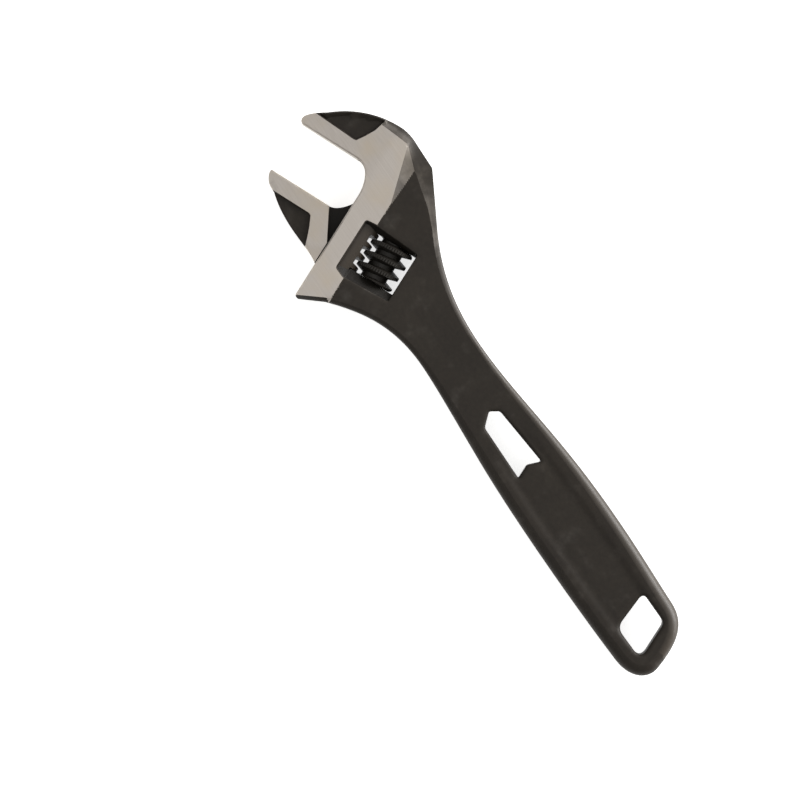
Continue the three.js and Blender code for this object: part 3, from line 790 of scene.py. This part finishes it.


# Drawn spring wire: bright, with a fine grain and a yellowish cast from oil.
def springWire(name):
    material, tree, shader = newMaterial(name)
    coord = add(tree, "ShaderNodeTexCoord").outputs["Object"]
    grain = noise(tree, coord, 1500.0, 3.0)
    colour = mixColour(tree, grain.outputs["Fac"], linear("#8f887c"), linear("#c4beb2"))
    tree.links.new(colour.outputs[2], shader.inputs["Base Color"])
    shader.inputs["Metallic"].default_value = 1.0
    rough = timesPlus(tree, grain.outputs["Fac"], 0.2, 0.25)
    tree.links.new(rough.outputs[0], shader.inputs["Roughness"])
    return material


bodySteel = forgedSteel("phosphatedForging_groundLand", head["angle"])
jawSteel = forgedSteel("phosphatedJaw_groundFaces", head["angle"])
knurlSteel = blackOxide("blackOxide_turnedKnurl")
pinSteel = blackOxide("blackOxide_pin", 0.25)
wireSteel = springWire("springWire_drawn")


def setAmount(obj, name, domain, values):
    attribute = obj.data.attributes.new(name, "FLOAT", domain)
    attribute.data.foreach_set("value", np.asarray(values, np.float32))


# How bare the steel is at each kind of place. The facet's value is painted shade for its tilt, the crown,
# shoulder and back values are painted reflection on the coated bevel, below 0 is painted shade darkening the
# coat, and the lower rims' polish is kept low as painted shade.
worn = {
    "facet": 0.36, "crown": 0.2, "shoulder": 0.11, "back": 0.12, "backEnd": 0.22, "wall": 0.9, "rack": 0.0,
    "edge": 0.06, "paintedShade": -0.6, "upperPolish": 0.85, "lowerPolishInShade": 0.05, "rackPolish": 0.6,
}


def finishBody(obj):
    p, up = facePoints(obj, rowPlace)
    u, v = toHead(p[:, :2]).T
    d, where = nearest(p[:, :2], bodyLoop)
    width = rimAt(where, bodyRims)[0]
    top = (np.abs(p[:, 2]) > bodyHeight(p[:, :2]) - 0.3) & (up > 0.3)
    level = (up > 0.997) | (u < -14) | (d < body["lip"]) | (v < -10)
    bare = np.where((u < landRight(v)) & level, 1.0, 0.0)
    # tilted faces on the land above the throat take the facet's value: painted shade that keeps them from
    # shining
    bare = np.where((u < landRight(v)) & (v > 10) & (bare == 0), worn["facet"], bare)
    # the tilted facet beside the land is ground like the land; its value mixes in coat as painted shade for
    # its tilt
    bare = np.where((bare > 0) & (pastFacet(u, v) > 0) & (v > 10), worn["facet"], bare)
    sunk = inside(p[:, :2], np.array(pocketCorners))
    bare = np.where(sunk, np.where(d < body["lip"], worn["edge"], 0.0), bare)
    # the coated bevel gets a grey of bare steel as painted reflection of the light it catches,
    # less and less from the crown round the shoulder, and more again down the back
    overCrown = (u > -17.9) & (u < -5.35) & (v > np.interp(u, bevelLine[:, 0], bevelLine[:, 1]))
    overBack = (u >= -5.35) & (v > 8) & (d < width)
    front = worn["crown"] + (worn["shoulder"] - worn["crown"]) * smooth(u, -13, -7)
    along = np.where(u < -2, front, worn["back"] + (worn["backEnd"] - worn["back"]) * smooth(u, 0, 7))
    inward = 0.55 + 0.6 * smooth(d / width, 0.3, 1.1)
    bare = np.where(overCrown | overBack, along * inward * (1 - smooth(u, 8, 13)), bare)
    # the chamfer under the lower corner stays black, and the window's rim nearly
    chamfer = np.array([(-39.6, -17.4), fromHead(body["edgeU"] + 0.9, body["tailV"])])
    bare = np.where((nearest(p[:, :2], chamfer, False)[0] < 0.85) & (up < 0.95), 0.0, bare)
    bare = np.where(nearest(p[:, :2], windowTop)[0] < 0.3, worn["edge"], bare)
    throat = (u < -13.5) & (v > 10) & (v < 17.9)
    jawFace = (np.abs(v - body["faceV"]) < 0.05) & (u < -17)
    ground = jawFace | throat | (np.abs(u - body["edgeU"]) < 0.03)
    # the sloped ends of the window lie deep in shade, so their coat is darkened: painted shade
    ends = ~top & (np.abs(v) > windowWaist["high"] - 0.1) & (np.abs(v) < 8) & (u > -8.8) & (u < 6.1)
    walls = np.where(ends, worn["paintedShade"], np.where(ground, worn["wall"], 0.0))
    setAmount(obj, "bare", "FACE", np.where(top, bare, walls))
    rims = vertexPoints(obj, rowPlace)[:, :2]
    d, where = nearest(rims, bodyLoop)
    width, _, roundness = rimAt(where, bodyRims)
    near = np.clip(1 - d / width, 0, 1)
    # the lower rims get hardly any polish, so they stay dark: painted shade on the side away from the lights
    sidePolishAndShade = np.where(rims[:, 1] > 0, worn["upperPolish"], worn["lowerPolishInShade"])
    setAmount(obj, "polishAndSideShade", "POINT", sidePolishAndShade * roundness * near ** 0.7 * (1 - 0.7 * smooth(near, 0.75, 1)))
    setFinish(obj, bodySteel)


finishBody(forgedBody)


def buildJaw():
    step = [
        (jaw["hookU"] + stepWidth, jaw["faceV"] + 0.12), (jaw["rightU"] + stepWidth, -3.2 + 0.04),
        (jaw["rightU"] + stepWidth, jaw["heelV"]),
    ]
    creases = [dense(line, 0.4) for line in (hookInner, step, jawPocket[:7], jawPocketFoot)]
    rings = ringsOf(hookLoop, hookRims[:, 0], (0.1, 0.35, 0.65, 1.0))
    return forging("movableJawForging", hookLoop, [], creases, rings, jawHeight, 0.9, headPlace)


movableJaw = buildJaw()
print("jaw", len(movableJaw.data.polygons))


# The rack: a round bar with grooves cut across it, tilted by the screw's lead.
def rackTree(sizes):
    tree, given, out = geometryTree("rackTeeth", sizes)
    g = given.outputs
    line = add(tree, "GeometryNodeMeshLine", {"mode": "OFFSET"}, Count=g["Grooves"])
    first = add(tree, "ShaderNodeCombineXYZ", X=g["Bar Offset"], Y=g["First"])
    step = add(tree, "ShaderNodeCombineXYZ", Y=g["Pitch"])
    tree.links.new(first.outputs[0], line.inputs["Start Location"])
    tree.links.new(step.outputs[0], line.inputs["Offset"])
    cutter = add(tree, "GeometryNodeMeshCone", {"fill_type": "NGON"}, Vertices=4, Radius_Top=g["Groove Root"],
                 Radius_Bottom=g["Groove Mouth"], Depth=g["Cutter Depth"])
    spun = add(tree, "GeometryNodeTransform", Geometry=cutter.outputs["Mesh"], Rotation=(0, 0, math.pi / 4))
    long = add(tree, "GeometryNodeTransform", Geometry=spun.outputs[0], Scale=(6.0, 1.0, 1.0))
    laid = add(tree, "GeometryNodeTransform", Geometry=long.outputs[0], Rotation=(0, -math.pi / 2, 0))
    tilt = add(tree, "ShaderNodeCombineXYZ", X=g["Lead Angle"])
    tiltedCutter = add(tree, "GeometryNodeTransform", Geometry=laid.outputs[0])
    tree.links.new(tilt.outputs[0], tiltedCutter.inputs["Rotation"])
    copies = add(tree, "GeometryNodeInstanceOnPoints", Points=line.outputs["Mesh"],
                 Instance=tiltedCutter.outputs[0])
    real = add(tree, "GeometryNodeRealizeInstances", Geometry=copies.outputs[0])
    cut = add(tree, "GeometryNodeMeshBoolean", {"operation": "DIFFERENCE", "solver": "EXACT"})
    tree.links.new(g["Geometry"], cut.inputs[0])
    tree.links.new(real.outputs[0], cut.inputs[1])
    whole = add(tree, "GeometryNodeRealizeInstances", Geometry=cut.outputs[0])
    done = add(tree, "GeometryNodeSetMaterial", Geometry=whole.outputs[0], Material=g["Finish"])
    tree.links.new(done.outputs[0], out.inputs[0])
    return tree


def buildRack():
    r, low, high, chamfer = (jaw[key] for key in ("rackRadius", "rackLow", "rackHigh", "chamfer"))
    flat = r - chamfer
    side = [(0, low), (flat, low), (r, low + chamfer), (r, high - chamfer), (flat, high), (0, high)]
    bar = turned("rackBar", side, 96, Matrix.Identity(4), u=body["rackU"])
    lead = math.atan(screw["pitch"] / (2 * math.pi * 4.5))
    # a four-sided cone's radius is half its diagonal
    half = math.sqrt(2) / 2
    # the cutters stand out of the bar by this much, and widen on the way
    above = 0.6
    depth = screw["toothDepth"] + above
    mouth = screw["grooveMouth"] + (screw["grooveMouth"] - screw["grooveRoot"]) * above / screw["toothDepth"]
    sizes = {
        "Grooves": 10, "First": (screw["shift"] - 5 * screw["pitch"]) * mm, "Pitch": screw["pitch"] * mm,
        "Bar Offset": (body["rackU"] + r + above) * mm,
        "Groove Root": screw["grooveRoot"] * half * mm, "Groove Mouth": mouth * half * mm,
        "Cutter Depth": depth * mm, "Lead Angle": -lead, "Finish": jawSteel,
    }
    return runTree(bar, rackTree(sizes), sizes)


rack = buildRack()
rack.data.transform(headPlace)
combine(movableJaw, [rack], "UNION")
shade(movableJaw, 32)


def finishJaw(obj):
    p, up = facePoints(obj, headPlace)
    u, v, z = p[:, 0], p[:, 1], np.abs(p[:, 2])
    top = (z > jawHeight(p[:, :2]) - 0.3) & (up > 0.3)
    bare = np.where(top & (u < -13.8) & (z > 2.5), 1.0, 0.0)
    bare = np.where(inside(p[:, :2], np.array(jawPocket)), 0.0, bare)
    bare = np.where(~top & (np.abs(v - jaw["faceV"]) < 0.05) & (z < 5.1), worn["wall"], bare)
    # the thin web behind the hook sits deep in shade, so its coat is darkened: painted shade
    bare = np.where((z < jaw["web"] + 0.1) & (u < -13) & (u > -18.3), worn["paintedShade"], bare)
    # the rack is machined after coating and only oiled
    onRack = (np.hypot(u - body["rackU"], p[:, 2]) < jaw["rackRadius"] + 0.03) & (u > -13.0)
    setAmount(obj, "bare", "FACE", np.where(onRack, worn["rack"], bare))
    v = vertexPoints(obj, headPlace)
    onRack = (v[:, 0] > -13) & (np.abs(v[:, 2]) < 4.1)
    setAmount(obj, "polishAndSideShade", "POINT", np.where(onRack, worn["rackPolish"], 0.0))
    setFinish(obj, jawSteel)


finishJaw(movableJaw)
print("jaw with rack", len(movableJaw.data.polygons))

# Knurl.

knurl = {
    "tip": 5.35, "root": 3.15, "half": 5.2, "crest": 0.8, "base": 2.1, "buried": 0.4,
    "bore": 1.6, "well": 2.5, "wellTop": -1.87, "countersink": 0.3, "grooves": 48, "grooveDepth": 0.22,
}


# The worm: a spiral with a tapered ridge along it, on a core, trimmed to a chamfered barrel, with fine
# grooves across the crest for the thumb.
def wormTree(sizes):
    tree, given, out = geometryTree("wormThread", sizes)
    g = given.outputs
    spiral = add(tree, "GeometryNodeCurveSpiral", Resolution=g["Steps Per Turn"], Rotations=g["Turns"],
                 Start_Radius=g["Buried Radius"], End_Radius=g["Buried Radius"], Height=g["Height"])
    tree.links.new(g["Reverse"], spiral.inputs["Reverse"])
    upright = add(tree, "GeometryNodeSetCurveNormal", {"mode": "Z_UP"}, Curve=spiral.outputs["Curve"])
    profile = add(tree, "GeometryNodeCurvePrimitiveQuadrilateral", {"mode": "POINTS"})
    corners = [
        ("Ridge", "Half Crest"), ("Ridge", "Minus Half Crest"),
        ("Zero", "Minus Half Base"), ("Zero", "Half Base"),
    ]
    for k, (rise, across) in enumerate(corners):
        corner = add(tree, "ShaderNodeCombineXYZ", X=g[rise], Y=g[across])
        tree.links.new(corner.outputs[0], profile.inputs["Point %d" % (k + 1)])
    ridge = add(tree, "GeometryNodeCurveToMesh", Curve=upright.outputs[0], Profile_Curve=profile.outputs[0],
                Fill_Caps=True)
    low = add(tree, "ShaderNodeMath", {"operation": "MULTIPLY"}, i0=g["Height"], i1=-0.5)
    shift = add(tree, "ShaderNodeCombineXYZ", Z=low.outputs[0])
    centred = add(tree, "GeometryNodeTransform", Geometry=ridge.outputs[0])
    tree.links.new(shift.outputs[0], centred.inputs["Translation"])
    laid = add(tree, "GeometryNodeTransform", Geometry=centred.outputs[0], Rotation=(-math.pi / 2, 0, 0))
    phase = add(tree, "ShaderNodeCombineXYZ", Y=g["Phase"])
    spun = add(tree, "GeometryNodeTransform", Geometry=laid.outputs[0])
    tree.links.new(phase.outputs[0], spun.inputs["Rotation"])
    joined = add(tree, "GeometryNodeMeshBoolean", {"operation": "UNION", "solver": "EXACT"})
    tree.links.new(g["Geometry"], joined.inputs[1])
    tree.links.new(spun.outputs[0], joined.inputs[1])
    done = add(tree, "GeometryNodeSetMaterial", Geometry=joined.outputs[0], Material=g["Finish"])
    real = add(tree, "GeometryNodeRealizeInstances", Geometry=done.outputs[0])
    tree.links.new(real.outputs[0], out.inputs[0])
    return tree


def gripTree(sizes):
    tree, given, out = geometryTree("gripGrooves", sizes)
    g = given.outputs
    ring = add(tree, "GeometryNodeMeshCircle", {"fill_type": "NONE"}, Vertices=g["Grooves"],
               Radius=g["Radius"])
    index = add(tree, "GeometryNodeInputIndex")
    turn = add(tree, "ShaderNodeMath", {"operation": "MULTIPLY"}, i0=index.outputs[0], i1=g["Step Angle"])
    aim = add(tree, "ShaderNodeCombineXYZ", Z=turn.outputs[0])
    bar = add(tree, "GeometryNodeMeshCylinder", {"fill_type": "NGON"}, Vertices=4, Radius=g["Groove Size"],
              Depth=g["Length"])
    copies = add(tree, "GeometryNodeInstanceOnPoints", Points=ring.outputs["Mesh"],
                 Instance=bar.outputs["Mesh"])
    tree.links.new(aim.outputs[0], copies.inputs["Rotation"])
    real = add(tree, "GeometryNodeRealizeInstances", Geometry=copies.outputs[0])
    laid = add(tree, "GeometryNodeTransform", Geometry=real.outputs[0], Rotation=(-math.pi / 2, 0.023, 0))
    cut = add(tree, "GeometryNodeMeshBoolean", {"operation": "DIFFERENCE", "solver": "EXACT"})
    tree.links.new(g["Geometry"], cut.inputs[0])
    tree.links.new(laid.outputs[0], cut.inputs[1])
    done = add(tree, "GeometryNodeSetMaterial", Geometry=cut.outputs[0], Material=g["Finish"])
    whole = add(tree, "GeometryNodeRealizeInstances", Geometry=done.outputs[0])
    tree.links.new(whole.outputs[0], out.inputs[0])
    return tree


def buildKnurl():
    k = knurl
    turns = 2 * k["half"] / screw["pitch"] + 2
    h, tip, root = k["half"], k["tip"], k["root"]
    # no two turned solids share a number of sides, so none of their edges fall on each other
    home = Matrix.Identity(4)
    core = turned("knurlWorm", [(0, -h - 1), (root, -h - 1), (root, h + 1), (0, h + 1)], 94, home)
    sizes = {
        "Steps Per Turn": 72, "Turns": turns, "Height": turns * screw["pitch"] * mm, "Reverse": 1,
        "Buried Radius": (root - k["buried"]) * mm, "Ridge": (tip - root + k["buried"]) * mm, "Zero": 0.0,
        "Half Crest": k["crest"] / 2 * mm, "Minus Half Crest": -k["crest"] / 2 * mm,
        "Half Base": (k["base"] + 0.24) / 2 * mm, "Minus Half Base": -(k["base"] + 0.24) / 2 * mm,
        "Phase": 2 * math.pi * (0.5 - turns / 2), "Finish": knurlSteel,
    }
    runTree(core, wormTree(sizes), sizes)
    barrel = [(0, -h), (tip - 0.7, -h), (tip - 0.25, -h + 0.2), (tip + 0.1, -h + 0.75),
              (tip + 0.1, h - 0.75), (tip - 0.25, h - 0.2), (tip - 0.7, h), (0, h)]
    combine(core, [turned("barrel", barrel, 86, home)], "INTERSECT")
    # the spring's well, the bore for the pin and the countersink at its far end
    bore, sink = k["bore"], k["countersink"]
    hollow = [(0, -h - 1), (k["well"], -h - 1), (k["well"], k["wellTop"]), (bore, k["wellTop"]),
              (bore, h - sink), (bore + 2 * sink, h + sink), (0, h + sink)]
    combine(core, [turned("hollow", hollow, 62, home)], "DIFFERENCE")
    grip = {
        "Grooves": k["grooves"], "Radius": (tip + 0.05) * mm, "Step Angle": 2 * math.pi / k["grooves"],
        "Groove Size": k["grooveDepth"] * mm, "Length": (2 * h + 2) * mm, "Finish": knurlSteel,
    }
    runTree(core, gripTree(grip), grip)
    core.data.transform(headPlace)
    shade(core, 30)
    setFinish(core, knurlSteel)
    return core


knurlWorm = buildKnurl()
print("knurl", len(knurlWorm.data.polygons))

# Pin and spring.

pin = {
    "radius": 1.5, "head": 2.1, "headLow": -12.2, "headHigh": -8.2, "high": 9.3,
    "slot": 0.7, "slotDepth": 1.1, "headChamfer": 0.3, "endChamfer": 0.4,
}
coil = {"wire": 0.24, "radius": 1.98, "low": -4.91, "turns": 3.5, "rise": 0.75}


def buildPin():
    p = pin
    r, top, low, high = p["radius"], p["head"], p["headLow"], p["high"]
    a, b = p["headChamfer"], p["endChamfer"]
    side = [
        (0, low), (top - a, low), (top, low + a), (top, p["headHigh"]),
        (r, p["headHigh"]), (r, high - b), (r - b, high), (0, high),
    ]
    obj = turned("knurlPinScrew", side, 64, headPlace)
    bm = bmesh.new()
    size = Matrix.Diagonal((6 * mm, 2 * p["slotDepth"] * mm, p["slot"] * mm, 1))
    bmesh.ops.create_cube(bm, size=1, matrix=Matrix.Translation((0, low * mm, 0)) @ size)
    combine(obj, [meshObject("slot", bm, headPlace)], "DIFFERENCE")
    shade(obj, 32)
    setFinish(obj, pinSteel)
    return obj


def coilTree(sizes):
    tree, given, out = geometryTree("coilSpring", sizes)
    g = given.outputs
    line = add(tree, "GeometryNodeCurveSpiral", Resolution=g["Steps Per Turn"], Rotations=g["Turns"],
               Start_Radius=g["Coil Radius"], End_Radius=g["Coil Radius"], Height=g["Height"])
    wire = add(tree, "GeometryNodeCurvePrimitiveCircle", Resolution=12, Radius=g["Wire Radius"])
    tube = add(tree, "GeometryNodeCurveToMesh", Curve=line.outputs["Curve"],
               Profile_Curve=wire.outputs["Curve"], Fill_Caps=True)
    laid = add(tree, "GeometryNodeTransform", Geometry=tube.outputs[0], Rotation=(-math.pi / 2, 0, 0))
    real = add(tree, "GeometryNodeRealizeInstances", Geometry=laid.outputs[0])
    done = add(tree, "GeometryNodeSetMaterial", Geometry=real.outputs[0], Material=g["Finish"])
    tree.links.new(done.outputs[0], out.inputs[0])
    return tree


def buildSpring():
    c = coil
    mesh = bpy.data.meshes.new("knurlCoilSpring")
    obj = bpy.data.objects.new("knurlCoilSpring", mesh)
    bpy.context.collection.objects.link(obj)
    sizes = {
        "Steps Per Turn": 48, "Turns": c["turns"], "Coil Radius": c["radius"] * mm,
        "Height": c["turns"] * c["rise"] * mm, "Wire Radius": c["wire"] * mm, "Finish": wireSteel,
    }
    runTree(obj, coilTree(sizes), sizes)
    obj.data.transform(headPlace @ Matrix.Translation((0, c["low"] * mm, 0)))
    bm = bmesh.new()
    bm.from_mesh(obj.data)
    bmesh.ops.recalc_face_normals(bm, faces=bm.faces)
    bm.to_mesh(obj.data)
    bm.free()
    shade(obj, 40)
    return obj


knurlPinScrew = buildPin()
knurlCoilSpring = buildSpring()
print("pin and spring", len(knurlPinScrew.data.polygons), len(knurlCoilSpring.data.polygons))

# Which body each piece rides on.

for piece, rides, node, finish in (
    (forgedBody, "frame", "body", "forged_body"),
    (movableJaw, "jaw", "movable_jaw", "forged_jaw"),
    (knurlWorm, "worm", "knurl", "knurl_steel"),
    (knurlPinScrew, "frame", "knurl_pin", "pin_steel"),
    (knurlCoilSpring, "frame", "knurl_spring", "spring_steel"),
):
    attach(piece, rides)
    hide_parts(node)

# Floor, lights and camera.

studio = {"floor": "#f4f4f2", "floorGlow": 0.72, "world": 0.40, "cameraHeight": 1.2, "frameWidth": 0.1935}

# Each light's place to the right, up and above the wrench, its size and its power.
lights = {
    "keyLight": (0.8, 0.35, 0.4, (0.7, 0.5), 9.0),
    "edgeLight": (0.9, 0.25, 0.14, (1.2, 0.25), 9.0),
    "fillLight": (-0.8, -0.2, 0.6, (0.8, 0.8), 1.0),
    "topLight": (0, 0, 1.6, (1.2, 1.2), 2.6),
}


def buildFloor():
    bm = bmesh.new()
    bmesh.ops.create_grid(bm, x_segments=2, y_segments=2, size=4.0)
    floor = meshObject("studioFloor", bm)
    floor.data.transform(Matrix.Translation((0, 0, -0.0004)))
    material, tree, shader = newMaterial("studioFloor_paper")
    coord = add(tree, "ShaderNodeTexCoord").outputs["Object"]
    fibre = noise(tree, coord, 900.0, 2.0)
    colour = mixColour(tree, fibre.outputs["Fac"], linear("#f1f1ef"), linear(studio["floor"]))
    tree.links.new(colour.outputs[2], shader.inputs["Base Color"])
    shader.inputs["Roughness"].default_value = 0.9
    shader.inputs["Specular IOR Level"].default_value = 0.1
    shader.inputs["Emission Color"].default_value = (1, 1, 1, 1)
    shader.inputs["Emission Strength"].default_value = studio["floorGlow"]
    floor.data.materials.append(material)


def areaLight(name, place, target, size, power):
    light = bpy.data.lights.new(name, "AREA")
    light.shape = "RECTANGLE"
    light.size, light.size_y = size
    light.energy = power
    obj = bpy.data.objects.new(name, light)
    obj.location = place
    obj.rotation_euler = (Vector(target) - Vector(place)).to_track_quat("-Z", "Y").to_euler()
    bpy.context.collection.objects.link(obj)


def buildStudio():
    scene = bpy.context.scene
    scene.view_settings.view_transform = "Standard"
    scene.view_settings.look = "None"
    world = bpy.data.worlds.new("studioWorld")
    scene.world = world
    world.use_nodes = True
    background = world.node_tree.nodes["Background"]
    background.inputs["Color"].default_value = (1.0, 0.985, 0.965, 1)
    background.inputs["Strength"].default_value = studio["world"]
    # right and up as the wrench is looked down on
    right, up = Vector((0.575, 0.818, 0)), Vector((-0.818, 0.575, 0))
    centre = Vector((-9.8, -16.2, 0)) * mm
    for name, (x, y, z, size, power) in lights.items():
        areaLight(name, centre + right * x + up * y + Vector((0, 0, z)), centre, size, power)
    camera = bpy.data.cameras.new("studioCamera")
    camera.sensor_width = 36
    camera.lens = 36 * studio["cameraHeight"] / studio["frameWidth"]
    camera.clip_end = 20
    camera.dof.use_dof = False
    eye = bpy.data.objects.new("studioCamera", camera)
    turn = Matrix((right, up, (0, 0, 1))).transposed().to_4x4()
    eye.matrix_world = Matrix.Translation(centre + Vector((0, 0, studio["cameraHeight"]))) @ turn
    bpy.context.collection.objects.link(eye)
    scene.camera = eye


buildFloor()
buildStudio()
print("studio")
